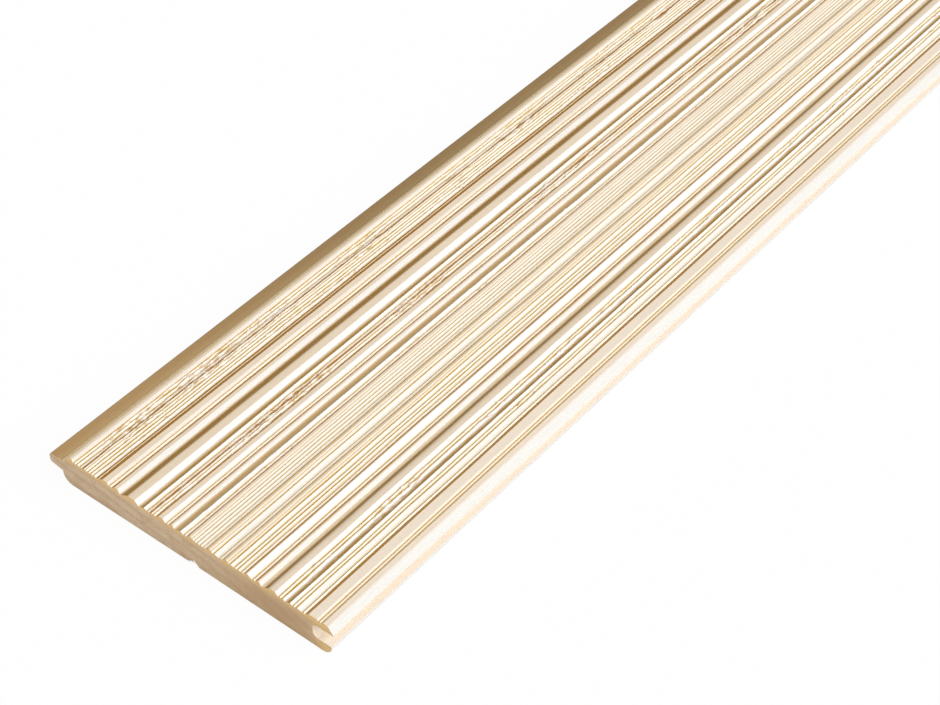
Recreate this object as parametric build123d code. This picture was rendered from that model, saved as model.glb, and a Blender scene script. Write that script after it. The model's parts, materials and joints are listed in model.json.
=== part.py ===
from build123d import *

# A striated tongue-and-groove panelling board, milled from one length of solid softwood.
#
# The board lies on its back. X runs across its width, with the tongue at -X and the groove at +X,
# Y runs along its length, and Z rises from the back to the face. All sizes are in millimetres.

from dataclasses import dataclass
import os

# Stock
length = 1800.0
cover_width = 138.5          # what one board adds to a wall, from face shoulder to face lip
thickness = 16.0             # from the back to the uncut lands of the face

# Tongue
tongue_reach = 7.5           # from the face shoulder to the tip
tongue_root = 5.9            # thickness where it leaves the board
tongue_top_fall = 0.3        # how far its upper side drops towards the tip
tongue_under_rise = 1.1      # how far its underside climbs towards the tip
tongue_nose_radius = 1.3
shoulder_step = 0.8          # the back shoulder stands this much further out than the face one

# Groove
face_lip = 3.95              # wood left between the groove and the lands
groove_play = 0.55           # clearance above and below a tongue
groove_end_play = 2.6        # clearance past a tongue's tip
groove_corner_radius = 2.5
back_joint_gap = 0.4         # the back lips stay this far apart when the face lips are closed
mouth_chamfer = 0.2          # the lip's inner edge is broken by this much

# Edges
tongue_bevel_run = 3.9       # slope from the tongue's root up to the face
lip_bevel_run = 2.5          # slope from the face down to the groove's lip
lip_bevel_drop = 3.5
bevel_top_radius = 0.8       # where the tongue's bevel meets the face
lip_top_radius = 2.0         # where the lip's bevel meets the face
back_round = 4.6             # both lower corners

# Back: a little hollow, so that the board bears on its two edges, with a relief kerf along it
back_hollow = 0.5            # how far the kerf's lips stand off what the board lies on
kerf_width = 5.7
kerf_depth = 3.2             # its bottom above the plane that the board lies on
kerf_offset = 3.0            # from the middle of the overall width
kerf_radius = 0.5

# Face
first_land = 1.8             # uncut wood beside the tongue bevel
last_land = 2.0              # least uncut wood beside the lip bevel

# Places that follow from the sizes above
overall_width = cover_width + tongue_reach
tongue_tip_x = -overall_width / 2
face_shoulder_x = tongue_tip_x + tongue_reach
back_shoulder_x = face_shoulder_x - shoulder_step
lip_x = overall_width / 2
back_lip_x = lip_x - shoulder_step - back_joint_gap
groove_back_x = lip_x - tongue_reach - groove_end_play
groove_top_z = thickness - face_lip
groove_bottom_z = groove_top_z - tongue_root - 2 * groove_play
tongue_top_z = groove_top_z - groove_play
tongue_under_z = tongue_top_z - tongue_root
back_corner = min(back_round, 0.95 * groove_bottom_z, 0.95 * tongue_under_z)
face_left_x = face_shoulder_x + tongue_bevel_run
face_right_x = lip_x - lip_bevel_run
first_mark_x = face_left_x + first_land
last_mark_x = face_right_x - last_land


@dataclass(frozen=True)
class Cut:
    """One knife mark along the face, from the crest on its left to the crest on its right.

    The wood falls away over `fall`, and climbs back over `rise`. `floor` and `crest` are the
    depths under the lands of the mark's bottom and of the crest that it leaves on its right.
    A gouged mark climbs on an arc that starts level at the floor, and where it climbs to the lands
    a second arc brings it level again. Any other mark climbs on a straight line.
    """

    fall: float
    rise: float
    floor: float
    crest: float = 0.0
    gouged: bool = False

    @property
    def width(self) -> float:
        return self.fall + self.rise


@dataclass(frozen=True)
class Land:
    """A strip of the face that no knife has touched."""

    width: float


# Knife marks that leave a low crest for the next mark
REED = Cut(fall=0.6, rise=0.9, floor=1.6, crest=1.0)
LONG_REED = Cut(fall=0.9, rise=0.9, floor=1.6, crest=1.0)
SLOPED_REED = Cut(fall=1.5, rise=0.8, floor=1.6, crest=1.0)
WIDE_REED = Cut(fall=2.4, rise=0.8, floor=1.6, crest=1.0)
SHORT_REED = Cut(fall=0.5, rise=0.6, floor=1.5, crest=1.0)
LOW_REED = Cut(fall=1.0, rise=0.6, floor=1.5, crest=1.0)
LONG_LOW_REED = Cut(fall=1.2, rise=0.7, floor=1.5, crest=1.0)
FAINT_REED = Cut(fall=0.4, rise=0.8, floor=1.5, crest=0.9)
SHALLOW_REED = Cut(fall=0.3, rise=0.6, floor=1.2, crest=0.9)
STEEP_REED = Cut(fall=0.3, rise=1.0, floor=1.5, crest=0.9)
DEEP_REED = Cut(fall=0.3, rise=1.6, floor=1.9, crest=0.7)
BROAD_REED = Cut(fall=0.9, rise=1.5, floor=1.8, crest=0.9)
SCORE = Cut(fall=0.3, rise=0.4, floor=0.6, crest=0.5)
NICK = Cut(fall=0.5, rise=0.9, floor=0.8, crest=0.4)
SOFT_SCOOP = Cut(fall=0.6, rise=3.5, floor=1.5, crest=0.5, gouged=True)
HALF_SCOOP = Cut(fall=1.6, rise=3.2, floor=1.9, crest=0.8, gouged=True)
BENT_REED = Cut(fall=0.8, rise=2.6, floor=1.7, crest=0.7, gouged=True)

# Knife marks that climb to the lands
CLOSE = Cut(fall=0.6, rise=1.9, floor=1.5)
STEEP_CLOSE = Cut(fall=0.5, rise=1.6, floor=1.5)
SHORT_CLOSE = Cut(fall=0.8, rise=1.3, floor=1.4)
LATE_CLOSE = Cut(fall=0.2, rise=2.1, floor=1.2)
SCOOP = Cut(fall=1.0, rise=5.3, floor=1.9, gouged=True)
LAST_NICK = Cut(fall=0.5, rise=1.1, floor=0.8)

# The striae from the tongue to the groove. Each run of marks ends up on the land that follows it.
RUNS = (
    (
        [REED, REED, LONG_REED, DEEP_REED, SHALLOW_REED, REED, REED, REED, BROAD_REED, LATE_CLOSE],
        Land(2.4),
    ),
    ([REED, CLOSE], Land(1.5)),
    ([SCOOP], Land(2.8)),
    ([HALF_SCOOP, SLOPED_REED, DEEP_REED, FAINT_REED, CLOSE], Land(2.0)),
    ([SLOPED_REED, STEEP_CLOSE], Land(0.7)),
    ([SOFT_SCOOP, SLOPED_REED, STEEP_CLOSE], Land(1.0)),
    ([SCORE, SHORT_REED, LOW_REED, LOW_REED, LOW_REED, SHORT_CLOSE], Land(0.9)),
    ([SCORE, REED, WIDE_REED, SHORT_CLOSE], Land(0.9)),
    ([SCORE, STEEP_REED, SLOPED_REED, REED, LONG_LOW_REED, STEEP_CLOSE], Land(0.4)),
    ([WIDE_REED, STEEP_CLOSE], Land(0.6)),
    ([SCOOP], Land(1.5)),
    ([SLOPED_REED, REED, BENT_REED, LONG_LOW_REED, REED, WIDE_REED, CLOSE], Land(3.9)),
    ([NICK, LAST_NICK], Land(last_land)),
)


def marks_that_fit():
    """Yield runs in turn, starting over on a wider board, while there is room for a whole run."""
    x = first_mark_x
    turn = 0
    while True:
        cuts, land = RUNS[turn % len(RUNS)]
        run_end = x + sum(cut.width for cut in cuts)
        if run_end > last_mark_x:
            return
        yield x, cuts
        x = run_end + land.width
        turn += 1


def striated_face():
    """Draw the face from the first knife mark to the land beside the groove."""
    at = (first_mark_x, thickness)
    for x, cuts in marks_that_fit():
        if x > at[0]:
            Line(at, (x, thickness))
        at = (x, thickness)
        for cut in cuts:
            floor = (at[0] + cut.fall, thickness - cut.floor)
            crest = (at[0] + cut.width, thickness - cut.crest)
            Line(at, floor)
            if cut.gouged and crest[1] == thickness:
                middle = ((floor[0] + crest[0]) / 2, (floor[1] + crest[1]) / 2)
                TangentArc(floor, middle, tangent=(1, 0))
                TangentArc(crest, middle, tangent=(-1, 0))
            elif cut.gouged:
                TangentArc(floor, crest, tangent=(1, 0))
            else:
                Line(floor, crest)
            at = crest
    Line(at, (last_mark_x, thickness))


def groove_edge():
    """Draw the last land, the lip bevel, the groove and the back lip, round to the back."""
    FilletPolyline(
        (last_mark_x, thickness),
        (face_right_x, thickness),
        (lip_x, thickness - lip_bevel_drop),
        (lip_x, groove_top_z + mouth_chamfer),
        (lip_x - mouth_chamfer, groove_top_z),
        (groove_back_x, groove_top_z),
        (groove_back_x, groove_bottom_z),
        (back_lip_x, groove_bottom_z),
        (back_lip_x, back_corner),
        radius=[lip_top_radius, 0, 0, 0, groove_corner_radius, groove_corner_radius, 0],
    )
    JernArc((back_lip_x, back_corner), (0, -1), back_corner, -90)


def hollow_back():
    """Draw the back from the groove to the tongue, rising to the lips of its relief kerf."""
    FilletPolyline(
        (back_lip_x - back_corner, 0),
        (kerf_offset + kerf_width / 2, back_hollow),
        (kerf_offset, kerf_depth),
        (kerf_offset - kerf_width / 2, back_hollow),
        (back_shoulder_x + back_corner, 0),
        radius=[0, kerf_radius, 0],
    )


def tongue_edge():
    """Draw the edge from the back, round the tongue and up its bevel, to the first knife mark."""
    JernArc((back_shoulder_x + back_corner, 0), (-1, 0), back_corner, -90)
    FilletPolyline(
        (back_shoulder_x, back_corner),
        (back_shoulder_x, tongue_under_z),
        (tongue_tip_x, tongue_under_z + tongue_under_rise),
        (tongue_tip_x, tongue_top_z - tongue_top_fall),
        (face_shoulder_x, tongue_top_z),
        (face_left_x, thickness),
        (first_mark_x, thickness),
        radius=[0, tongue_nose_radius, tongue_nose_radius, 0, bevel_top_radius],
    )


def panel():
    """Run the section along the whole length."""
    with BuildPart() as board:
        with BuildSketch(Plane.XZ):
            with BuildLine():
                striated_face()
                groove_edge()
                hollow_back()
                tongue_edge()
            make_face()
        extrude(amount=length / 2, both=True)
    return board.part


os.makedirs("parts", exist_ok=True)
export_step(panel(), "parts/panel.step")
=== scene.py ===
"""Studio scene of one length of striated tongue-and-groove softwood panelling.

The board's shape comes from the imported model. This script gives it the wandering lines and torn
fibres of milled softwood, its finishes, a plain floor, soft light and the camera.
"""
import json
import logging
import math
import random
from dataclasses import dataclass
from enum import Enum
from typing import Callable

import bpy
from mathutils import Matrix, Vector, noise

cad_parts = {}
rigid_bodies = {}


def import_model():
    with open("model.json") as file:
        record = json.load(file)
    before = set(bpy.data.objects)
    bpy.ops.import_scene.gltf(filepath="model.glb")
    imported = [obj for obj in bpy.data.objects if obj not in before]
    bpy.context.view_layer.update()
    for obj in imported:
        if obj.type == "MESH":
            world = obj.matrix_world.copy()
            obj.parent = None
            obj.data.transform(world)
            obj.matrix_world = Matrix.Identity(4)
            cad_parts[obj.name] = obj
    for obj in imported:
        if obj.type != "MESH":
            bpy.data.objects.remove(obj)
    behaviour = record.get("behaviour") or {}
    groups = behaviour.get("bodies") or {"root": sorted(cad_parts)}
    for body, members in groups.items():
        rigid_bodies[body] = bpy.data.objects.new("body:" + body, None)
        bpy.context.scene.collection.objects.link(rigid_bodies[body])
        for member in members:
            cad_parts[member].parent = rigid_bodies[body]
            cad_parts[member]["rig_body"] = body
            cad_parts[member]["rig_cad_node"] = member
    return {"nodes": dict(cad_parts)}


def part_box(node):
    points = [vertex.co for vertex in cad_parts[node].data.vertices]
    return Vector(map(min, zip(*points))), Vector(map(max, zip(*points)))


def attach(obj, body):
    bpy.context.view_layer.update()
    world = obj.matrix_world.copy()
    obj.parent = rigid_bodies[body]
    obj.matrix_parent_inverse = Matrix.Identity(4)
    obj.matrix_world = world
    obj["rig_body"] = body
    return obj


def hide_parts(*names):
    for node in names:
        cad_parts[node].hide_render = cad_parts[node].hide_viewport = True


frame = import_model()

LOG = logging.getLogger("panelling")
MM = 0.001
SEED_SPREAD = (1.0, 0.37, 0.71)  # how far a pattern's seed shifts it along each axis
WHITE = (1.0, 1.0, 1.0)
DOWNWARDS = -math.pi / 2  # turns the sliver, which lies along +Y, to point down

Triple = tuple[float, float, float]
Colour = Triple
Span = tuple[float, float]  # where a soft step starts and ends, or a draw's two limits
Window = tuple[Span, Span]  # the step into a soft band and the step out of it

FIRST_RUN_END: Span = (-44 * MM, -42.5 * MM)  # where the face's first run of marks ends


def srgb(red: int, green: int, blue: int) -> Colour:
    """Turn a colour as a screen shows it into the linear one that the renderer uses.

    Args:
        red, green, blue: the screen's values, from 0 to 255.

    Returns:
        The linear colour, from 0 to 1.
    """
    def linear(value: int) -> float:
        """Undo the screen's curve for one channel."""
        share = value / 255
        return share / 12.92 if share <= 0.04045 else ((share + 0.055) / 1.055) ** 2.4

    return linear(red), linear(green), linear(blue)


class Signal:
    """One output of a shader node, on which plain arithmetic adds Math nodes."""

    def __init__(self, sheet: "Sheet", socket: bpy.types.NodeSocket | None) -> None:
        """Keep the sheet of nodes and the output socket."""
        self.sheet = sheet
        self.socket = socket

    def _maths(self, operation: str, first: "Signal | float",
               second: "Signal | float" = 0.0) -> "Signal":
        """Add one Math node, and give its output."""
        return self.sheet.add("ShaderNodeMath", {"operation": operation}, {0: first, 1: second})

    def __add__(self, other: "Signal | float") -> "Signal":
        """Signal + other."""
        return self._maths("ADD", self, other)

    __radd__ = __add__

    def __sub__(self, other: "Signal | float") -> "Signal":
        """Signal - other."""
        return self._maths("SUBTRACT", self, other)

    def __rsub__(self, other: float) -> "Signal":
        """Other - signal."""
        return self._maths("SUBTRACT", other, self)

    def __mul__(self, other: "Signal | float") -> "Signal":
        """Signal * other."""
        return self._maths("MULTIPLY", self, other)

    __rmul__ = __mul__

    def __truediv__(self, other: "Signal | float") -> "Signal":
        """Signal / other."""
        return self._maths("DIVIDE", self, other)

    def at_least(self, other: "Signal | float") -> "Signal":
        """The larger of the two."""
        return self._maths("MAXIMUM", self, other)

    def root(self) -> "Signal":
        """The square root."""
        return self._maths("SQRT", self)

    def fraction(self) -> "Signal":
        """What is left past the whole number."""
        return self._maths("FRACT", self)

    def swing(self, amount: "Signal | float") -> "Signal":
        """How far a pattern is from its middle, times an amount."""
        return (self - 0.5) * amount

    def step(self, span: Span) -> "Signal":
        """A soft step up, from 0 at the span's start to 1 at its end."""
        start, end = span
        return self.sheet.add("ShaderNodeMapRange", {"interpolation_type": "SMOOTHSTEP"}, {
            "Value": self, "From Min": start, "From Max": end, "To Min": 0.0, "To Max": 1.0})

    def fade(self, span: Span) -> "Signal":
        """A soft step down, from 1 to 0."""
        return 1 - self.step(span)

    def window(self, window: Window) -> "Signal":
        """1 inside a soft band, and 0 on both sides of it."""
        return self.step(window[0]) * self.fade(window[1])


@dataclass(frozen=True)
class Pattern:
    """A soft random pattern."""

    size: Triple  # how far it reaches before it changes, in metres
    seed: float  # shifts it, so that two of one size differ
    detail: float  # how many finer patterns lie on it


@dataclass
class Sheet:
    """A node tree that is being filled in."""

    tree: bpy.types.NodeTree

    def add(self, kind: str, settings: dict | None = None, inputs: dict | None = None,
            output: int | str = 0) -> Signal:
        """Add one node of any type.

        Args:
            kind: the node's type.
            settings: its own properties, which are set first.
            inputs: a value or a Signal for each of its sockets, by name or number.
            output: the output that is wanted.

        Returns:
            That output.
        """
        node = self.tree.nodes.new(kind)
        for name, value in (settings or {}).items():
            setattr(node, name, value)
        for name, value in (inputs or {}).items():
            if isinstance(value, Signal):
                self.tree.links.new(value.socket, node.inputs[name])
            else:
                node.inputs[name].default_value = value
        return Signal(self, node.outputs[output] if len(node.outputs) else None)

    def colour(self, value: Colour) -> tuple[float, float, float, float]:
        """A colour with full cover, as a colour socket takes it."""
        return *value, 1.0

    def mix(self, share: Signal | float, first: Signal | Colour, second: Signal | Colour,
            how: str = "MIX") -> Signal:
        """Mix two colours.

        Args:
            share: how much of the second colour there is, from 0 to 1.
            first, second: the colours.
            how: the blend type.

        Returns:
            The mixed colour.
        """
        pair = [c if isinstance(c, Signal) else self.colour(c) for c in (first, second)]
        settings = {"data_type": "RGBA", "blend_type": how, "clamp_factor": True}
        # Its sockets have one name for every data type: 6, 7 and output 2 are the colours.
        return self.add("ShaderNodeMix", settings, {0: share, 6: pair[0], 7: pair[1]}, 2)

    def shade(self, colour: Signal, value: Signal) -> Signal:
        """A colour times one number in all three parts."""
        grey = self.add("ShaderNodeCombineXYZ", {}, {0: value, 1: value, 2: value})
        return self.mix(1.0, colour, grey, "MULTIPLY")

    def axes(self) -> tuple[Signal, Signal, Signal, Signal]:
        """The point on the object, as a vector and as its three parts, in metres."""
        point = self.add("ShaderNodeTexCoord", output="Object")
        parts = [self.add("ShaderNodeSeparateXYZ", inputs={0: point}, output=n) for n in range(3)]
        return point, *parts

    def noise(self, point: Signal, pattern: Pattern) -> Signal:
        """A soft random pattern's value at a point, about 0.5."""
        scaled = self.add("ShaderNodeMapping", {}, {
            "Vector": point, "Location": tuple(pattern.seed * part for part in SEED_SPREAD),
            "Scale": tuple(1 / size for size in pattern.size)})
        return self.add("ShaderNodeTexNoise", {"noise_dimensions": "3D", "normalize": True}, {
            "Vector": scaled, "Scale": 1.0, "Detail": pattern.detail, "Roughness": 0.5})

    def trait(self, trait: "Trait") -> Signal:
        """A number painted on the mesh."""
        return self.add("ShaderNodeAttribute", {"attribute_name": trait.value}, output="Fac")


def new_material(name: str) -> tuple[bpy.types.Material, Sheet]:
    """Make an empty material.

    Args:
        name: the material's name.

    Returns:
        The material and its empty sheet of nodes.
    """
    material = bpy.data.materials.new(name)
    material.use_nodes = True
    material.node_tree.nodes.clear()
    return material, Sheet(material.node_tree)


@dataclass(frozen=True)
class Surface:
    """How rough, deep and glossy a wood's fibres are."""

    roughness: float
    swing: float  # how much the roughness follows the fibres
    relief: float  # how deep the fibres are, in metres
    gloss: float

    def finish(self, sheet: Sheet, colour: Signal, fibres: Signal) -> None:
        """Put a wood's colour, roughness and fibres on one shader.

        Args:
            sheet: the material's nodes.
            colour: the wood's colour.
            fibres: their pattern, from 0 to 1.
        """
        bump = sheet.add("ShaderNodeBump", {}, {
            "Height": fibres, "Strength": 1.0, "Distance": self.relief}, "Normal")
        shader = sheet.add("ShaderNodeBsdfPrincipled", {}, {
            "Base Color": colour, "Roughness": self.roughness + fibres.swing(self.swing),
            "Normal": bump, "Specular IOR Level": self.gloss})
        sheet.add("ShaderNodeOutputMaterial", inputs={"Surface": shader})


class Trait(Enum):
    """Numbers painted on the board's mesh, which its finishes read. Sizes are in millimetres."""

    LEAN = "lean"  # the part of the normal that points to the groove's side
    CLIMB = "climb"  # width of the climb to the right that a face is part of
    RISE = "rise"  # height above the lowest point of the face
    BESIDE = "beside"  # width of the next climb further right
    TORN = "torn"  # how torn the wood is, up to 1
    GROOVE = "groove"  # 1 inside the groove


@dataclass
class Spot:
    """Where on the board a finish is read. Lengths are in metres."""

    sheet: Sheet
    low: Vector
    high: Vector

    def __post_init__(self) -> None:
        """Add the nodes that give the point."""
        self.point, self.x, self.y, self.z = self.sheet.axes()

    def past_tongue(self, span: Span) -> Signal:
        """A soft step across the board, between two distances from the tongue's tip."""
        return self.x.step((self.low.x + span[0], self.low.x + span[1]))

    def near_lip(self, span: Span) -> Signal:
        """A soft step across the board, between two distances from the groove's lip."""
        return self.x.step((self.high.x - span[0], self.high.x - span[1]))

    def along(self, span: Span) -> Signal:
        """A soft step along the board, between two distances from its near end."""
        return self.y.step((self.low.y + span[0], self.low.y + span[1]))

    def noise(self, pattern: Pattern) -> Signal:
        """A pattern at this point."""
        return self.sheet.noise(self.point, pattern)


@dataclass(frozen=True)
class GrowthRings:
    """The tree's rings, as one board was cut from it. Lengths are in metres."""

    pith_x: float = -70 * MM
    pith_z: float = -330 * MM
    spacing: float = 5.6 * MM
    waver: float = 7.5 * MM
    drift: float = 9.0 * MM
    waver_pattern: Pattern = Pattern((24 * MM, 420 * MM, 14 * MM), 3.1, 1.0)
    drift_pattern: Pattern = Pattern((70 * MM, 900 * MM, 60 * MM), 9.4, 0.0)
    dark: Window = ((0.40, 0.85), (0.86, 1.0))  # shares of one ring

    def latewood(self, at: Spot) -> Signal:
        """The dark, hard part of each ring.

        Args:
            at: where it is read.

        Returns:
            1 in the middle of the latewood and 0 in the pale wood.
        """
        across = at.x - self.pith_x
        up = at.z - self.pith_z
        radius = (across * across + up * up).root()
        waver = at.noise(self.waver_pattern).swing(self.waver)
        drift = at.noise(self.drift_pattern).swing(self.drift)
        turns = (radius + waver + drift) / self.spacing
        return turns.fraction().window(self.dark)


@dataclass(frozen=True)
class Lands:
    """The uncut strips of the face. Places across the board are in metres from its middle."""

    left: Colour = srgb(231, 213, 188)
    middle: Colour = srgb(222, 200, 164)
    right: Colour = srgb(238, 223, 203)
    late: Colour = srgb(216, 184, 140)
    left_to_right: Span = (45 * MM, 60 * MM)
    middle_band: Window = ((4 * MM, 12 * MM), (38 * MM, 44 * MM))
    middle_share: float = 0.8
    late_share: float = 0.12

    def paint(self, at: Spot, rings: GrowthRings) -> Signal:
        """The colour of whole wood.

        Args:
            at: where it is read.
            rings: the tree's rings.

        Returns:
            The colour.
        """
        colour = at.sheet.mix(at.x.step(self.left_to_right), self.left, self.right)
        middle = at.x.window(self.middle_band) * self.middle_share
        colour = at.sheet.mix(middle, colour, self.middle)
        return at.sheet.mix(rings.latewood(at) * self.late_share, colour, self.late)


class Detail:
    """Something painted over the wood's colour. Its own fields give the colours and places."""

    def paint(self, at: Spot, colour: Signal) -> Signal:
        """Paint the detail.

        Args:
            at: where it is read.
            colour: the colour so far.

        Returns:
            The new colour.
        """
        raise NotImplementedError


@dataclass(frozen=True)
class LitSlopes(Detail):
    """Faces that fall to the right, towards the light, with painted light and shade.

    A slope that faces the light is painted near white, a painted highlight, and so is the lip's
    bevel.
    The bottom of each fall is painted pale and golden, a painted shade, and the lower part of a
    fall beside a tall wall is painted lit white. Leans are parts of the normal. Heights and widths
    are in millimetres, as in Trait, and the lip's reach is in metres from its edge.
    """

    # painted highlight: these colours paint near white the slopes that face the light, the steeper
    # ones a little greyer
    gentle: Colour = srgb(243, 240, 234)
    middling: Colour = srgb(233, 233, 233)
    steep: Colour = srgb(225, 223, 219)
    lip_top: Colour = srgb(222, 205, 184)
    lip_bevel: Colour = srgb(216, 213, 208)
    # painted shade at the bottom of each fall, and painted light on falls beside tall walls
    cream_shade: Colour = srgb(240, 228, 202)
    foot_shade: Colour = srgb(210, 178, 108)
    lit: Colour = srgb(255, 251, 240)
    slope_lean: Span = (0.02, 0.2)
    middling_lean: Span = (0.2, 0.6)
    steep_lean: Span = (0.6, 0.95)
    bevel_lean: Span = (0.3, 0.8)
    fall_lean: Span = (0.2, 0.3)
    unlit_lean: Span = (0.75, 0.85)
    lip_reach: Span = (5 * MM, 4.5 * MM)
    closing_width: Window = ((1.2, 1.5), (2.2, 2.6))
    closing_calm: float = 0.7
    cream_height: Span = (0.1, 0.7)
    cream_share: float = 0.55
    foot_height: Span = (0.05, 0.3)
    foot_share: float = 0.6
    lit_height: Span = (0.5, 0.9)
    lit_share: float = 0.9

    def paint(self, at: Spot, colour: Signal) -> Signal:
        """Paint the painted light and shade of the slopes over the colour so far."""
        mix = at.sheet.mix
        lean, rise, beside = (at.sheet.trait(t) for t in (Trait.LEAN, Trait.RISE, Trait.BESIDE))
        lip = at.near_lip(self.lip_reach)
        slope = mix(lean.step(self.middling_lean), self.gentle, self.middling)
        slope = mix(lean.step(self.steep_lean), slope, self.steep)
        bevel = mix(lean.step(self.bevel_lean), self.lip_top, self.lip_bevel)
        # painted highlight on the slopes that lean towards the light, and on the lip's bevel
        colour = mix(lean.step(self.slope_lean), colour, mix(lip, slope, bevel))
        closing = (beside.window(self.closing_width) * lean.fade(self.unlit_lean)
                   * at.x.step(FIRST_RUN_END))
        falls = (lean.step(self.fall_lean) * (1 - lip) * beside.fade(self.closing_width[1])
                 * (1 - closing * self.closing_calm))
        # painted shade: pale and golden at the bottom of each fall
        cream_shade = rise.fade(self.cream_height) * falls * self.cream_share
        colour = mix(cream_shade, colour, self.cream_shade)
        foot_shade = rise.fade(self.foot_height) * falls * self.foot_share
        colour = mix(foot_shade, colour, self.foot_shade)
        # painted light: the lower part of a fall beside a tall wall is painted lit white
        lit = closing * rise.fade(self.lit_height) * lean.step(self.slope_lean) * (1 - lip)
        return mix(lit * self.lit_share, colour, self.lit)


@dataclass(frozen=True)
class ShadedWalls(Detail):
    """Painted shade on the walls that climb to the right, away from the light.

    The golden shade is painted lighter on a reed's thin wall, darker on a taller wall and darker
    yet on a scoop's. Widths are in millimetres, as in Trait. Places are in metres: far from the
    near end, nick_reach from the groove's lip, and right_scoop from the middle.
    """

    # painted shade: each colour stands for the shade on one kind of wall, the reed's lighter far
    # from the near end
    thin: Colour = srgb(218, 188, 126)
    reed: Colour = srgb(214, 172, 72)
    far_reed: Colour = srgb(232, 202, 136)
    tall: Colour = srgb(193, 139, 51)
    left: Colour = srgb(150, 104, 38)
    half_scoop: Colour = srgb(180, 139, 66)
    soft_scoop: Colour = srgb(192, 161, 112)
    scoop: Colour = srgb(164, 123, 55)
    nick: Colour = srgb(226, 192, 136)
    far: Span = (30 * MM, 320 * MM)
    reed_width: Span = (0.62, 0.75)
    tall_width: Span = (0.95, 1.6)
    half_scoop_width: Span = (2.2, 2.6)
    soft_scoop_width: Window = ((3.3, 3.45), (3.55, 3.7))
    scoop_width: Span = (3.6, 5.0)
    left_width: Span = (1.2, 1.6)
    left_share: float = 0.5
    nick_reach: Span = (10 * MM, 9 * MM)
    score_width: Span = (0.45, 0.55)
    score_share: float = 0.6
    right_scoop: Span = (30 * MM, 31 * MM)
    right_scoop_narrower: float = 0.2
    soft_scoop_wider: float = 0.9
    steep_lean: Span = (0.04, 0.36)
    any_width: Span = (0.1, 0.3)

    def _painted_shade(self, at: Spot, climb: Signal) -> Signal:
        """The painted shade on a wall of any width.

        Args:
            at: where it is read.
            climb: the wall's width.

        Returns:
            The colour.
        """
        mix = at.sheet.mix
        reed = mix(at.along(self.far), self.reed, self.far_reed)
        reed = mix(climb.step(self.reed_width), self.thin, reed)
        wall = mix(climb.step(self.tall_width), reed, self.tall)
        wall = mix(climb.step(self.half_scoop_width), wall, self.half_scoop)
        wall = mix(climb.window(self.soft_scoop_width), wall, self.soft_scoop)
        left = at.x.fade(FIRST_RUN_END) * climb.step(self.left_width)
        wall = mix(left * self.left_share, wall, self.left)
        wall = mix(climb.step(self.scoop_width), wall, self.scoop)
        return mix(at.near_lip(self.nick_reach), wall, self.nick)

    def paint(self, at: Spot, colour: Signal) -> Signal:
        """Paint the walls' painted shade over the colour so far."""
        climb = at.sheet.trait(Trait.CLIMB)
        soft = climb.window(self.soft_scoop_width)
        right_scoop = climb.step(self.scoop_width) * at.x.step(self.right_scoop)
        # the shade is painted where a wall leans away from the light
        lean = (0 - at.sheet.trait(Trait.LEAN)) * (soft * self.soft_scoop_wider + 1)
        steep = (lean - right_scoop * self.right_scoop_narrower).step(self.steep_lean)
        score = climb.fade(self.score_width) * self.score_share
        share = steep.at_least(score) * climb.step(self.any_width)
        return at.sheet.mix(share, colour, self._painted_shade(at, climb))


@dataclass(frozen=True)
class Shreds(Detail):
    """Dark and pale threads where the wood is torn, weaker far from the near end."""

    dark: Colour = srgb(184, 140, 78)
    pale: Colour = srgb(250, 247, 240)
    threads: Pattern = Pattern((0.7 * MM, 3.5 * MM, 0.7 * MM), 7.7, 2.0)
    far: Span = (110 * MM, 210 * MM)
    far_loss: float = 0.75
    dark_threads: Span = (0.56, 0.62)
    dark_share: float = 0.75
    pale_threads: Span = (0.38, 0.44)
    pale_share: float = 0.85

    def paint(self, at: Spot, colour: Signal) -> Signal:
        """Paint the threads over the colour so far."""
        torn = at.sheet.trait(Trait.TORN) * (1 - at.along(self.far) * self.far_loss)
        threads = at.noise(self.threads)
        dark = torn * threads.step(self.dark_threads) * self.dark_share
        colour = at.sheet.mix(dark, colour, self.dark)
        pale = torn * threads.fade(self.pale_threads) * self.pale_share
        return at.sheet.mix(pale, colour, self.pale)


@dataclass(frozen=True)
class TongueLightAndShade(Detail):
    """The tongue, its bevel and the land beside it, with painted shade and light.

    The tongue is painted darker for the shadow that the board casts on it, lighter towards its root
    and darker further from the near end, and its bevel is painted lighter, a painted light. Places
    are in metres from its tip, and far from the near end.
    """

    # painted shade: the tip and root colours stand for the board's shadow on the tongue; painted
    # light: the bevel's colour
    tip: Colour = srgb(179, 145, 98)
    root: Colour = srgb(203, 170, 120)
    bevel: Colour = srgb(250, 232, 190)
    land: Colour = srgb(212, 186, 150)
    land_end: Span = (11.2 * MM, 13.1 * MM)
    bevel_end: Span = (11.1 * MM, 11.4 * MM)
    tongue_end: Span = (6.8 * MM, 7.7 * MM)
    tip_to_root: Span = (2.5 * MM, 7.4 * MM)
    far: Span = (0.0, 240 * MM)
    far_shade: float = 0.3

    def paint(self, at: Spot, colour: Signal) -> Signal:
        """Paint the tongue's side, with its painted shade and light, over the colour so far."""
        sheet = at.sheet
        colour = sheet.mix(1 - at.past_tongue(self.land_end), colour, self.land)
        colour = sheet.mix(1 - at.past_tongue(self.bevel_end), colour, self.bevel)
        # painted shade on the tongue, for the board's shadow on it
        tongue = sheet.mix(at.past_tongue(self.tip_to_root), self.tip, self.root)
        tongue = sheet.shade(tongue, 1 - self.far_shade * at.along(self.far))
        return sheet.mix(1 - at.past_tongue(self.tongue_end), colour, tongue)


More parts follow.
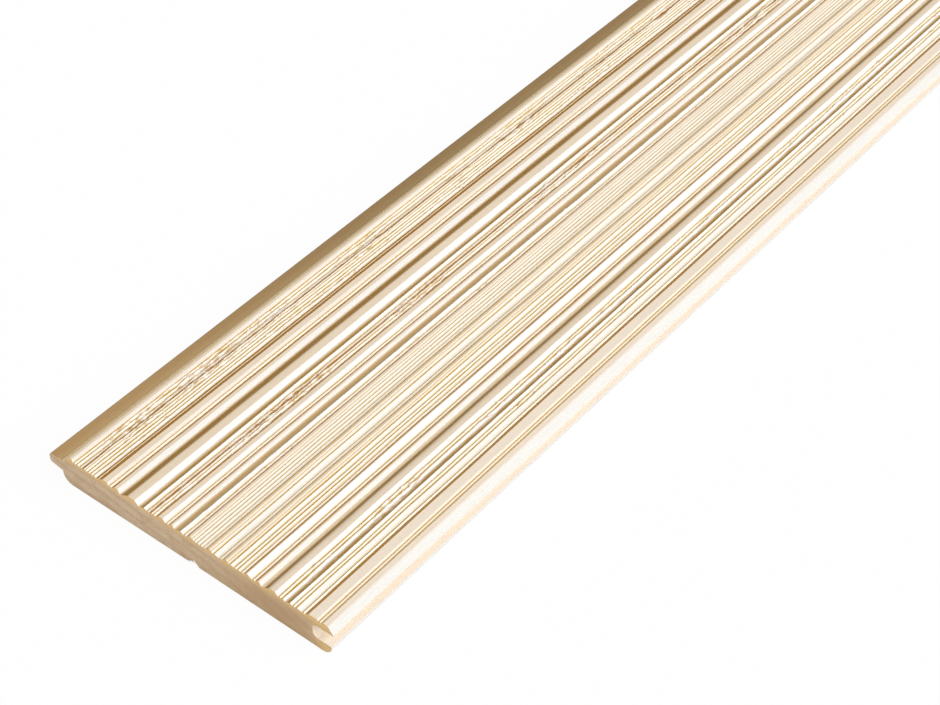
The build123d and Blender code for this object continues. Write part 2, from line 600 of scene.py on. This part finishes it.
@dataclass(frozen=True)
class GrooveLightAndShade(Detail):
    """The groove, with painted light and shade: paler deep inside, more so further from the near
    end, and darker at the mouth. Places are in metres: far from the near end, and mouth from the
    lip.
    """

    # painted light and shade: these colours follow where light and shade fall in the groove
    near_mouth: Colour = srgb(236, 224, 209)
    far_mouth: Colour = srgb(238, 221, 205)
    near_inside: Colour = srgb(244, 231, 212)
    far_inside: Colour = srgb(250, 246, 240)
    far: Span = (40 * MM, 130 * MM)
    mouth: Span = (4.5 * MM, 2.7 * MM)

    def paint(self, at: Spot, colour: Signal) -> Signal:
        """Paint the groove's painted light and shade over the colour so far."""
        far = at.along(self.far)
        mouth = at.sheet.mix(far, self.near_mouth, self.far_mouth)
        inside = at.sheet.mix(far, self.near_inside, self.far_inside)
        groove = at.sheet.mix(at.near_lip(self.mouth), inside, mouth)
        return at.sheet.mix(at.sheet.trait(Trait.GROOVE), colour, groove)


@dataclass(frozen=True)
class LongGrain:
    """The planed and milled wood along the board's length."""

    lands: Lands = Lands()
    # the slopes, walls, tongue and groove paint light and shade into the wood's colour
    details: tuple[Detail, ...] = (LitSlopes(), ShadedWalls(), Shreds(), TongueLightAndShade(), GrooveLightAndShade())
    fibre: Pattern = Pattern((0.3 * MM, 9 * MM, 0.3 * MM), 1.7, 3.0)
    cloud: Pattern = Pattern((16 * MM, 150 * MM, 16 * MM), 5.3, 2.0)
    fleck: Pattern = Pattern((0.5 * MM, 1.2 * MM, 0.5 * MM), 3.3, 0.0)
    fibre_share: float = 0.2
    groove_calm: float = 0.12
    cloud_share: float = 0.08
    fleck_share: float = 0.1
    surface: Surface = Surface(roughness=0.62, swing=0.3, relief=0.03 * MM, gloss=0.2)

    def make(self, rings: GrowthRings, low: Vector, high: Vector) -> bpy.types.Material:
        """Build the material.

        Args:
            rings: the tree's rings.
            low, high: the board's corners.

        Returns:
            The material.
        """
        material, sheet = new_material("long_grain")
        at = Spot(sheet, low, high)
        colour = self.lands.paint(at, rings)
        for detail in self.details:
            colour = detail.paint(at, colour)
        fibre = at.noise(self.fibre)
        fibre_share = self.fibre_share - sheet.trait(Trait.GROOVE) * self.groove_calm
        streak = (fibre.swing(fibre_share) + at.noise(self.cloud).swing(self.cloud_share)
                  + at.noise(self.fleck).swing(self.fleck_share) + 1.0)
        self.surface.finish(sheet, sheet.shade(colour, streak), fibre)
        return material


@dataclass(frozen=True)
class EndGrain:
    """The sawn ends, where the rings show as bands. Lengths are in metres."""

    pale: Colour = srgb(237, 211, 178)
    brown: Colour = srgb(222, 192, 152)
    late: Colour = srgb(206, 168, 130)
    rim: Colour = srgb(255, 214, 146)
    pores: Pattern = Pattern((0.35 * MM, 4 * MM, 0.35 * MM), 2.9, 3.0)
    patches: Pattern = Pattern((5 * MM, 9 * MM, 3.5 * MM), 6.1, 2.0)
    mottle: Pattern = Pattern((1.3 * MM, 4 * MM, 1.0 * MM), 8.6, 1.0)
    browner: Span = (-10 * MM, 45 * MM)
    ring_share: float = 0.38
    patch_steps: Span = (0.4, 0.75)
    patch_share: float = 0.4
    mottle_steps: Span = (0.45, 0.7)
    mottle_share: float = 0.25
    heart_across: Window = ((25 * MM, 40 * MM), (54 * MM, 60 * MM))
    heart_up: Window = ((2 * MM, 6 * MM), (9 * MM, 12 * MM))
    heart_share: float = 0.55
    rim_waver: float = 1.6 * MM
    rim_depth: Span = (4.6 * MM, 1.2 * MM)
    rim_share: float = 0.8
    lip_reach: Span = (13 * MM, 4 * MM)
    lip_share: float = 0.6
    lip_less_rim: float = 0.45
    pore_share: float = 0.3
    surface: Surface = Surface(roughness=0.8, swing=0.2, relief=0.04 * MM, gloss=0.15)

    def make(self, rings: GrowthRings, low: Vector, high: Vector) -> bpy.types.Material:
        """Build the material.

        Args:
            rings: the tree's rings.
            low, high: the board's corners.

        Returns:
            The material.
        """
        material, sheet = new_material("end_grain")
        at = Spot(sheet, low, high)
        pores, patches, mottle = (at.noise(p) for p in (self.pores, self.patches, self.mottle))
        colour = sheet.mix(at.x.step(self.browner), self.pale, self.brown)
        colour = sheet.mix(rings.latewood(at) * self.ring_share, colour, self.late)
        stains = (patches.step(self.patch_steps) * self.patch_share
                  + mottle.step(self.mottle_steps) * self.mottle_share)
        colour = sheet.mix(stains, colour, self.late)
        heart = at.x.window(self.heart_across) * at.z.window(self.heart_up)
        colour = sheet.mix(heart * self.heart_share, colour, self.late)
        top = (high.z - self.rim_depth[0], high.z - self.rim_depth[1])
        edge = (at.z + patches.swing(self.rim_waver)).step(top)
        colour = sheet.mix(edge * self.rim_share, colour, self.rim)
        lip = at.near_lip(self.lip_reach) * (self.lip_share - edge * self.lip_less_rim)
        colour = sheet.mix(lip, colour, self.rim)
        colour = sheet.shade(colour, pores.swing(self.pore_share) + 1.0)
        self.surface.finish(sheet, colour, pores)
        return material


@dataclass(frozen=True)
class FibreLook:
    """Loose fibres: pale or golden on the face, and tan round the kerf. Lengths are in metres."""

    pale: Colour = srgb(246, 240, 228)
    gold: Colour = srgb(206, 160, 92)
    tan: Colour = srgb(196, 168, 132)
    patches: Pattern = Pattern((1.5 * MM, 5 * MM, 1.5 * MM), 4.4, 1.0)
    golden: Span = (0.5, 0.62)
    face_height: Span = (6 * MM, 8 * MM)
    surface: Surface = Surface(roughness=0.7, swing=0.1, relief=0.02 * MM, gloss=0.2)

    def make(self) -> bpy.types.Material:
        """Build the material."""
        material, sheet = new_material("loose_fibre")
        point, _, _, z = sheet.axes()
        patches = sheet.noise(point, self.patches)
        colour = sheet.mix(patches.step(self.golden), self.pale, self.gold)
        colour = sheet.mix(z.step(self.face_height), self.tan, colour)
        self.surface.finish(sheet, colour, patches)
        return material


def select_only(*pieces: bpy.types.Object) -> None:
    """Select these objects and nothing else, with the first one active."""
    bpy.ops.object.select_all(action="DESELECT")
    for piece in pieces:
        piece.select_set(True)
    bpy.context.view_layer.objects.active = pieces[0]


def pick(piece: bpy.types.Object, mode: str, wanted: Callable) -> None:
    """Select what passes a test on a mesh, and stay in edit mode.

    Args:
        piece: the active object.
        mode: VERT, EDGE or FACE.
        wanted: takes a vertex, edge or face and says whether it is selected.
    """
    bpy.ops.object.mode_set(mode="EDIT")
    bpy.ops.mesh.select_mode(type=mode)
    bpy.ops.mesh.select_all(action="DESELECT")
    bpy.ops.object.mode_set(mode="OBJECT")
    mesh = piece.data
    for item in {"VERT": mesh.vertices, "EDGE": mesh.edges, "FACE": mesh.polygons}[mode]:
        item.select = wanted(item)
    bpy.ops.object.mode_set(mode="EDIT")


@dataclass(frozen=True)
class TornBand:
    """A band along the board where the knives tore the wood. Lengths are in metres."""

    start: float
    end: float
    strength: float
    soft_side: float = 0.6 * MM
    patch_length: float = 34 * MM
    least: float = 0.15
    usual: float = 0.55
    patch_swing: float = 1.5

    def share(self, x: float, y: float) -> float:
        """How torn the wood is at one place.

        Args:
            x, y: the place.

        Returns:
            0 where it is whole, up to the band's strength in its worst patches.
        """
        inside = min(x - self.start, self.end - x) / self.soft_side
        patch = noise.noise(Vector((self.start / MM, y / self.patch_length, 0.0)))
        patchy = max(self.least, min(1.0, self.usual + self.patch_swing * patch))
        return self.strength * max(0.0, min(1.0, inside)) * patchy


TORN = (
    TornBand(-59.0 * MM, -51.0 * MM, 1.0),
    TornBand(-50.6 * MM, -46.8 * MM, 0.5),
    TornBand(-19.4 * MM, -13.6 * MM, 1.0),
    TornBand(-2.8 * MM, 0.6 * MM, 0.35),
    TornBand(46.9 * MM, 51.6 * MM, 0.8),
    TornBand(53.4 * MM, 56.2 * MM, 0.45),
)


def torn_share(x: float, y: float) -> float:
    """How torn the wood is at one place, by the worst of the bands."""
    return max(band.share(x, y) for band in TORN)


@dataclass(frozen=True)
class Drift:
    """One soft random movement of the striae. Lengths are in metres."""

    group: str
    axis: str
    strength: float
    middle: float  # the noise's value that moves nothing
    across: float  # the size of its waves
    along: float


@dataclass
class Board:
    """The board itself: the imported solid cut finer, with lines that wander a little.

    It is cut into equal parts, and each part again, the near ones finer than the others. The
    striated face is what lies between its two sides and no deeper than face_depth. Lengths are in
    metres, and the crest angle in degrees.
    """

    node: str = "panel"
    parts: int = 12
    near_parts: int = 3
    near_cuts: int = 49
    far_cuts: int = 13
    weld: float = 0.001 * MM
    crest_angle: float = 25.0
    end_facing: float = 0.9  # least part of an end's normal that points along the board
    up_facing: float = 0.1  # least part of a milled wall's normal that points up
    face_depth: float = 2.4 * MM
    tongue_side: float = 12 * MM
    groove_side: float = 3 * MM
    still_lip: float = 6 * MM  # the wandering ends this far from the groove's side
    side_fade: float = 3 * MM
    end_fade: float = 9 * MM
    groove_reach: float = 10.5 * MM
    groove_heights: Span = (5 * MM, 12.3 * MM)
    noise_apart: float = 0.137  # so far apart the drifts read their noise
    drifts: tuple[Drift, ...] = (
        Drift("striae", "X", 0.4 * MM, 0.5, 5 * MM, 46 * MM),
        Drift("striae", "Z", -0.3 * MM, 0.3, 3 * MM, 60 * MM),
        Drift("torn", "X", 1.0 * MM, 0.5, 1.1 * MM, 5.5 * MM),
        Drift("torn", "X", 1.0 * MM, 0.5, 2.5 * MM, 16 * MM),
        Drift("torn", "Z", 1.3 * MM, 0.55, 0.9 * MM, 3.4 * MM),
    )

    def build(self) -> bpy.types.Object:
        """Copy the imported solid, cut it along its length and let its lines wander.

        Returns:
            The finished piece.
        """
        self.low, self.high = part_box(self.node)
        select_only(frame["nodes"][self.node])
        bpy.ops.object.duplicate()
        board = bpy.context.object
        board.name = board.data.name = "striated_board"
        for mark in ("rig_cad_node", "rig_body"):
            del board[mark]
        board.parent = None
        bpy.ops.mesh.customdata_custom_splitnormals_clear()
        self.piece = board
        self._merge()
        bpy.ops.object.shade_smooth_by_angle(angle=math.radians(self.crest_angle))
        self._cut_finer()
        self._paint()
        self._wander()
        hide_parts(self.node)
        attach(board, "root")
        return board

    def _is_end(self, face: bpy.types.MeshPolygon) -> bool:
        """Whether a face belongs to one of the two sawn ends."""
        return abs(face.normal.y) > self.end_facing

    def _merge(self) -> None:
        """Join the loose triangles into long faces."""
        bpy.ops.object.mode_set(mode="EDIT")
        bpy.ops.mesh.select_all(action="SELECT")
        bpy.ops.mesh.remove_doubles(threshold=self.weld)
        pick(self.piece, "FACE", lambda face: not self._is_end(face))
        bpy.ops.mesh.tris_convert_to_quads(face_threshold=math.radians(1), shape_threshold=math.pi)
        bpy.ops.object.mode_set(mode="OBJECT")

    def _cut_finer(self) -> None:
        """Cut the long faces into equal parts, and the near parts finer than the rest."""
        part = (self.high.y - self.low.y) / self.parts
        near = self.low.y + part * self.near_parts
        points = self.piece.data.vertices

        def middle(edge: bpy.types.MeshEdge) -> float:
            """The place of an edge's middle along the board."""
            return (points[edge.vertices[0]].co.y + points[edge.vertices[1]].co.y) / 2

        def length(edge: bpy.types.MeshEdge) -> float:
            """How far an edge runs along the board."""
            return abs(points[edge.vertices[0]].co.y - points[edge.vertices[1]].co.y)

        goes = ((self.parts - 1, lambda edge: length(edge) > 2 * part),
                (self.near_cuts, lambda edge: length(edge) > part / 2 and middle(edge) < near),
                (self.far_cuts, lambda edge: length(edge) > part / 2 and middle(edge) > near))
        for cuts, wanted in goes:
            pick(self.piece, "EDGE", wanted)
            bpy.ops.mesh.subdivide(number_cuts=cuts)
            bpy.ops.object.mode_set(mode="OBJECT")
            points = self.piece.data.vertices

    def outline(self) -> list[Vector]:
        """The striated face's points at the near end, from left to right."""
        left, right = self.low.x + self.tongue_side, self.high.x - self.groove_side
        near, floor = self.low.y + 10 * self.weld, self.high.z - self.face_depth
        places = (vertex.co for vertex in self.piece.data.vertices)
        return sorted((co.copy() for co in places
                       if co.y < near and co.z > floor and left < co.x < right),
                      key=lambda co: co.x)

    def _climbs(self) -> list[tuple[float, float]]:
        """Where the striated face climbs to the right: each climb's start and end."""
        climbs = []
        start = None
        points = self.outline()
        for here, after in zip(points, points[1:]):
            if after.z > here.z + self.weld:
                start = here.x if start is None else start
            elif start is not None:
                climbs.append((start, here.x))
                start = None
        return climbs

    def _paint(self) -> None:
        """Write the traits on the mesh, which the finishes read."""
        mesh = self.piece.data
        domains = {Trait.LEAN: "CORNER", Trait.CLIMB: "FACE", Trait.RISE: "CORNER",
                   Trait.BESIDE: "FACE", Trait.TORN: "POINT", Trait.GROOVE: "FACE"}
        for trait, domain in domains.items():
            mesh.attributes.new(trait.value, "FLOAT", domain)
        lean, climb, rise, beside, torn, groove = (mesh.attributes[t.value].data for t in Trait)
        lean.foreach_set("value", [normal.vector.x for normal in mesh.corner_normals])
        for vertex in mesh.vertices:
            if vertex.co.z > self.high.z - self.face_depth:
                torn[vertex.index].value = torn_share(vertex.co.x, vertex.co.y)
        climbs = self._climbs()
        low, high = self.groove_heights
        for face in mesh.polygons:
            x, _, z = face.center
            groove[face.index].value = x > self.high.x - self.groove_reach and low < z < high
            here = [end - start for start, end in climbs if start < x < end]
            width = max(here, default=0.0) if face.normal.z > self.up_facing else 0.0
            climb[face.index].value = width / MM
            next_width = next((end - start for start, end in climbs if start > x), 0.0)
            beside[face.index].value = next_width / MM
            bottom = min(mesh.vertices[index].co.z for index in face.vertices)
            for corner in face.loop_indices:
                top = mesh.vertices[mesh.loops[corner].vertex_index].co.z
                rise[corner].value = (top - bottom) / MM

    def _wander(self) -> None:
        """Move the striae sideways and down by soft noise drawn out along the grain."""
        striae = self.piece.vertex_groups.new(name="striae")
        torn = self.piece.vertex_groups.new(name="torn")
        for vertex in self.piece.data.vertices:
            x, y, z = vertex.co
            inside = min(x - self.low.x - self.tongue_side, self.high.x - self.still_lip - x)
            inside /= self.side_fade
            if self.high.z - z > self.face_depth or inside <= 0:
                continue
            whole = min(1.0, (y - self.low.y) / self.end_fade, (self.high.y - y) / self.end_fade)
            if whole <= 0:
                continue
            striae.add([vertex.index], min(1.0, inside) * whole, "REPLACE")
            share = torn_share(x, y)
            if share > 0:
                torn.add([vertex.index], share * whole, "REPLACE")
        for number, drift in enumerate(self.drifts):
            self._apply(drift, number)
        for vertex in self.piece.data.vertices:
            vertex.co.z = min(vertex.co.z, self.high.z)

    def _apply(self, drift: Drift, number: int) -> None:
        """Move a vertex group by one drift.

        Args:
            drift: the movement.
            number: its place in the list, which shifts its noise.
        """
        bpy.ops.object.empty_add(location=(number * self.noise_apart, 0.0, 0.0))
        ruler = bpy.context.object
        ruler.scale = (drift.across, drift.along, drift.across)
        bpy.context.view_layer.update()
        select_only(self.piece)
        clouds = bpy.data.textures.new(f"drift_{number}", "CLOUDS")
        clouds.noise_scale = 1.0
        clouds.noise_depth = 1
        move = self.piece.modifiers.new(f"drift_{number}", "DISPLACE")
        move.texture = clouds
        move.texture_coords = "OBJECT"
        move.texture_coords_object = ruler
        move.direction = drift.axis
        move.mid_level = drift.middle
        move.strength = drift.strength
        move.vertex_group = drift.group
        bpy.ops.object.modifier_apply(modifier=move.name)
        bpy.data.objects.remove(ruler)

    def dress(self, rings: GrowthRings) -> None:
        """Give the long faces and the two ends their finishes.

        Args:
            rings: the tree's rings, which both finishes share.
        """
        mesh = self.piece.data
        mesh.materials.clear()
        mesh.materials.append(LongGrain().make(rings, self.low, self.high))
        mesh.materials.append(EndGrain().make(rings, self.low, self.high))
        for face in mesh.polygons:
            face.material_index = int(self._is_end(face))
            if face.material_index:
                face.use_smooth = False


@dataclass
class LooseFibres:
    """Slivers that stand off torn crests, and a ragged fringe round the near end of the kerf.

    Lengths are in metres and angles in radians. The sizes of a copy are shares of the first sliver,
    and a girth is its width and thickness. A span is the two limits of a random draw. Slivers lie
    between start and reach from the near end.
    """

    board: Board
    seed: int = 11
    length: float = 3 * MM
    thickness: float = 0.3 * MM
    sides: int = 5
    tip: float = 0.1
    bends: tuple[Span, ...] = ((0.3, 0.2), (0.6, 0.5), (0.9, 0.7))  # from where, and how far
    side_bend: float = 0.6
    per_band: int = 330
    start: float = 4 * MM
    reach: float = 470 * MM
    crest_depth: float = 0.4 * MM  # a low crest is at least this far under the lands
    crest_spread: float = 0.15 * MM
    torn_enough: Span = (0.2, 0.9)
    lengths: Span = (0.35, 1.1)
    girths: Span = (0.7, 1.7)
    tilts: Span = (0.02, 0.16)
    rolls: Span = (0.0, 6.28)
    sway: float = 0.12
    backward_share: float = 0.5
    headroom: float = 1.8  # room kept over a sliver, in thicknesses
    root_depth: float = 0.04 * MM
    fringe: int = 26
    fringe_inset: float = 0.1 * MM
    fringe_height: float = 0.85 * MM
    fringe_width: float = 9 * MM
    fringe_rolls: Span = (-0.2, 0.0)
    fringe_lengths: Span = (0.12, 0.2)
    fringe_girth: Span = (2.2, 0.4)
    kerf_x: float = 0.2 * MM
    spurs: tuple[Triple, ...] = (  # place across, height and length
        (1.4 * MM, 2.1 * MM, 0.4), (1.8 * MM, 2.4 * MM, 0.5),
        (2.3 * MM, 2.8 * MM, 0.4), (0.35 * MM, 1.1 * MM, 0.28))
    spur_rolls: Span = (-0.3, 0.1)
    spur_girth: Span = (4.0, 0.45)

    def build(self) -> bpy.types.Object:
        """Model one sliver, copy it onto the torn crests and the kerf, and join the copies.

        Returns:
            The finished piece.
        """
        self.dice = random.Random(self.seed)
        self._sliver()
        copies = [self._copy(*place) for place in self._torn_places() + self._fringe_places()]
        bpy.data.objects.remove(self.first)
        select_only(*copies)
        bpy.ops.object.join()
        bpy.ops.object.transform_apply(location=True, rotation=True, scale=True)
        self.piece = bpy.context.object
        self.piece.name = self.piece.data.name = "loose_fibres"
        bpy.context.scene.cursor.location = (0, 0, 0)
        bpy.ops.object.origin_set(type="ORIGIN_CURSOR")
        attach(self.piece, "root")
        return self.piece

    def _sliver(self) -> None:
        """Model one bent sliver along +Y, with its root at the origin."""
        bpy.ops.mesh.primitive_cone_add(
            vertices=self.sides, radius1=self.thickness / 2, radius2=self.thickness * self.tip,
            depth=self.length, location=(0, self.length / 2, 0), rotation=(DOWNWARDS, 0, 0))
        bpy.ops.object.transform_apply(location=True, rotation=True, scale=True)
        self.first = bpy.context.object
        points = self.first.data.vertices
        pick(self.first, "EDGE", lambda edge: abs(
            points[edge.vertices[0]].co.y - points[edge.vertices[1]].co.y) > self.length / 2)
        bpy.ops.mesh.subdivide(number_cuts=2)
        bpy.ops.object.mode_set(mode="OBJECT")
        for share, lift in self.bends:
            bend = self.thickness * lift
            pick(self.first, "VERT", lambda vertex: vertex.co.y > self.length * share)
            bpy.ops.transform.translate(value=(bend * self.side_bend, 0, bend))
            bpy.ops.object.mode_set(mode="OBJECT")
        bpy.ops.object.shade_smooth()

    def _copy(self, place: Vector, turn: Triple, size: Triple) -> bpy.types.Object:
        """Copy the sliver, with a mesh of its own.

        Args:
            place: where its root goes.
            turn: its angles about X, Y and Z.
            size: its width, length and thickness, as shares of the first sliver's.

        Returns:
            The copy.
        """
        select_only(self.first)
        bpy.ops.object.duplicate()
        copy = bpy.context.object
        copy.location, copy.rotation_euler, copy.scale = place, turn, size
        return copy

    def _crests(self) -> list[float]:
        """Where the low crests lie across the board, from its outline at the near end."""
        points = self.board.outline()
        return [here.x for before, here, after in zip(points, points[1:], points[2:])
                if before.z < here.z > after.z
                and here.z < self.board.high.z - self.crest_depth]

    def _torn_places(self) -> list[tuple[Vector, Triple, Triple]]:
        """Places, turns and sizes of the slivers on torn crests."""
        low, high = self.board.low, self.board.high
        dice = self.dice
        found = []
        crests = self._crests()
        for band in TORN:
            inside = [x for x in crests if band.start < x < band.end]
            for _ in range(int(self.per_band * band.strength) if inside else 0):
                x = dice.choice(inside) + dice.gauss(0, self.crest_spread)
                y = low.y + dice.uniform(self.start, self.reach)
                if band.share(x, y) < band.strength * dice.uniform(*self.torn_enough):
                    continue
                hit, spot, *_ = self.board.piece.ray_cast((x, y, high.z + MM), (0, 0, -1))
                if not hit:
                    continue
                length = dice.uniform(*self.lengths)
                girth = dice.uniform(*self.girths)
                back = dice.random() < self.backward_share
                tilt = dice.uniform(*self.tilts)
                roll = dice.uniform(*self.rolls)
                heading = dice.gauss(math.pi if back else 0.0, self.sway)
                lift = self.length * length * tilt + self.thickness * girth * self.headroom
                if spot.z + lift < high.z:
                    root = spot - Vector((0, 0, self.root_depth))
                    found.append((root, (tilt, roll, heading), (girth, length, girth)))
        return found

    def _fringe_places(self) -> list[tuple[Vector, Triple, Triple]]:
        """Places, turns and sizes of the ragged fringe round the kerf at the near end."""
        y = self.board.low.y + self.fringe_inset
        dice = self.dice
        found = []
        for _ in range(self.fringe):
            x = self.kerf_x - dice.uniform(0, 1) ** 2 * self.fringe_width
            turn = (DOWNWARDS, dice.uniform(*self.fringe_rolls), 0.0)
            width, thickness = self.fringe_girth
            size = (width, dice.uniform(*self.fringe_lengths), thickness)
            found.append((Vector((x, y, self.fringe_height)), turn, size))
        for x, z, length in self.spurs:
            turn = (DOWNWARDS, dice.uniform(*self.spur_rolls), 0.0)
            width, thickness = self.spur_girth
            found.append((Vector((x, y, z)), turn, (width, length, thickness)))
        return found

    def dress(self) -> None:
        """Give the fibres their finish."""
        self.piece.data.materials.clear()
        self.piece.data.materials.append(FibreLook().make())


@dataclass
class Studio:
    """A pale floor, one soft light from the right, an even sky and the camera.

    Lengths are in metres, angles in degrees, and the lens in millimetres.
    """

    floor_size: float = 24.0
    floor_gap: float = 0.2 * MM
    floor_grey: float = 0.9
    shadow_share: float = 0.04
    key: float = 0.90
    key_elevation: float = 40.0
    key_azimuth: float = 12.0
    key_softness: float = 50.0
    sky: float = 0.42
    azimuth: float = 38.74
    elevation: float = 43.78
    distance: float = 0.8797
    aim_x: float = 22.0 * MM
    aim_from_end: float = 141.3 * MM
    lens: float = 83.94
    sensor: float = 36.0
    clip: Span = (0.01, 100.0)

    def build(self) -> None:
        """Make the floor, the lights, the sky and the camera."""
        self._floor()
        self._light()
        self._sky()
        self._camera()

    def _floor(self) -> None:
        """A wide floor that shows as white and keeps a faint shadow."""
        bpy.ops.mesh.primitive_plane_add(size=self.floor_size, location=(0, 0, -self.floor_gap))
        floor = bpy.context.object
        floor.name = "studio_floor"
        material, sheet = new_material("pale_floor")
        grey = sheet.colour((self.floor_grey,) * 3)
        plain = sheet.add("ShaderNodeBsdfDiffuse", {}, {"Color": grey})
        white = sheet.add("ShaderNodeEmission", {}, {
            "Color": sheet.colour(WHITE), "Strength": 1.0})
        seen = self._seen(sheet) * (1 - self.shadow_share)
        both = sheet.add("ShaderNodeMixShader", {}, {0: seen, 1: plain, 2: white})
        sheet.add("ShaderNodeOutputMaterial", inputs={"Surface": both})
        floor.data.materials.append(material)

    def _seen(self, sheet: Sheet) -> Signal:
        """1 for rays that show the background, straight, mirrored or through glass."""
        rays = [sheet.add("ShaderNodeLightPath", output=name)
                for name in ("Is Camera Ray", "Is Glossy Ray", "Is Transmission Ray")]
        return rays[0].at_least(rays[1]).at_least(rays[2])

    def _light(self) -> None:
        """The key light, on the right and a little behind."""
        bpy.ops.object.light_add(type="SUN")
        sun = bpy.context.object
        sun.name = "key_light"
        sun.data.energy = self.key * math.pi
        sun.data.angle = math.radians(self.key_softness)
        turn, rise = math.radians(self.key_azimuth), math.radians(self.key_elevation)
        towards = Vector((math.cos(turn) * math.cos(rise), math.sin(turn) * math.cos(rise),
                          math.sin(rise)))
        sun.rotation_euler = towards.to_track_quat("Z", "Y").to_euler()

    def _sky(self) -> None:
        """An even sky, which the camera sees as white."""
        world = bpy.data.worlds.new("studio_sky")
        world.use_nodes = True
        world.node_tree.nodes.clear()
        sheet = Sheet(world.node_tree)
        white = sheet.colour(WHITE)
        light = sheet.add("ShaderNodeBackground", {}, {"Color": white, "Strength": self.sky})
        shown = sheet.add("ShaderNodeBackground", {}, {"Color": white, "Strength": 1.0})
        both = sheet.add("ShaderNodeMixShader", {}, {0: self._seen(sheet), 1: light, 2: shown})
        sheet.add("ShaderNodeOutputWorld", inputs={"Surface": both})
        bpy.context.scene.world = world
        bpy.context.scene.view_settings.view_transform = "Standard"

    def _camera(self) -> None:
        """The camera, at the photograph's angle on the board's near end."""
        low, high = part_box("panel")
        aim = Vector((self.aim_x, low.y + self.aim_from_end, high.z))
        turn, rise = math.radians(self.azimuth), math.radians(self.elevation)
        back = Vector((math.sin(turn) * math.cos(rise), -math.cos(turn) * math.cos(rise),
                       math.sin(rise)))
        bpy.ops.object.camera_add(location=aim + back * self.distance)
        camera = bpy.context.object
        camera.name = "photo_camera"
        camera.rotation_euler = (-back).to_track_quat("-Z", "Y").to_euler()
        camera.data.sensor_width = self.sensor
        camera.data.lens = self.lens
        camera.data.clip_start, camera.data.clip_end = self.clip
        bpy.context.scene.camera = camera


def main() -> None:
    """Build the board and the studio, in order, and report each piece."""
    logging.basicConfig(level=logging.INFO, format="%(name)s: %(message)s")
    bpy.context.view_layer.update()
    board = Board()
    piece = board.build()
    board.dress(GrowthRings())
    LOG.info("%s has %d faces", piece.name, len(piece.data.polygons))
    fibres = LooseFibres(board)
    piece = fibres.build()
    fibres.dress()
    LOG.info("%s has %d faces", piece.name, len(piece.data.polygons))
    Studio().build()
    LOG.info("the studio and its camera are in place")


if __name__ == "__main__":
    main()
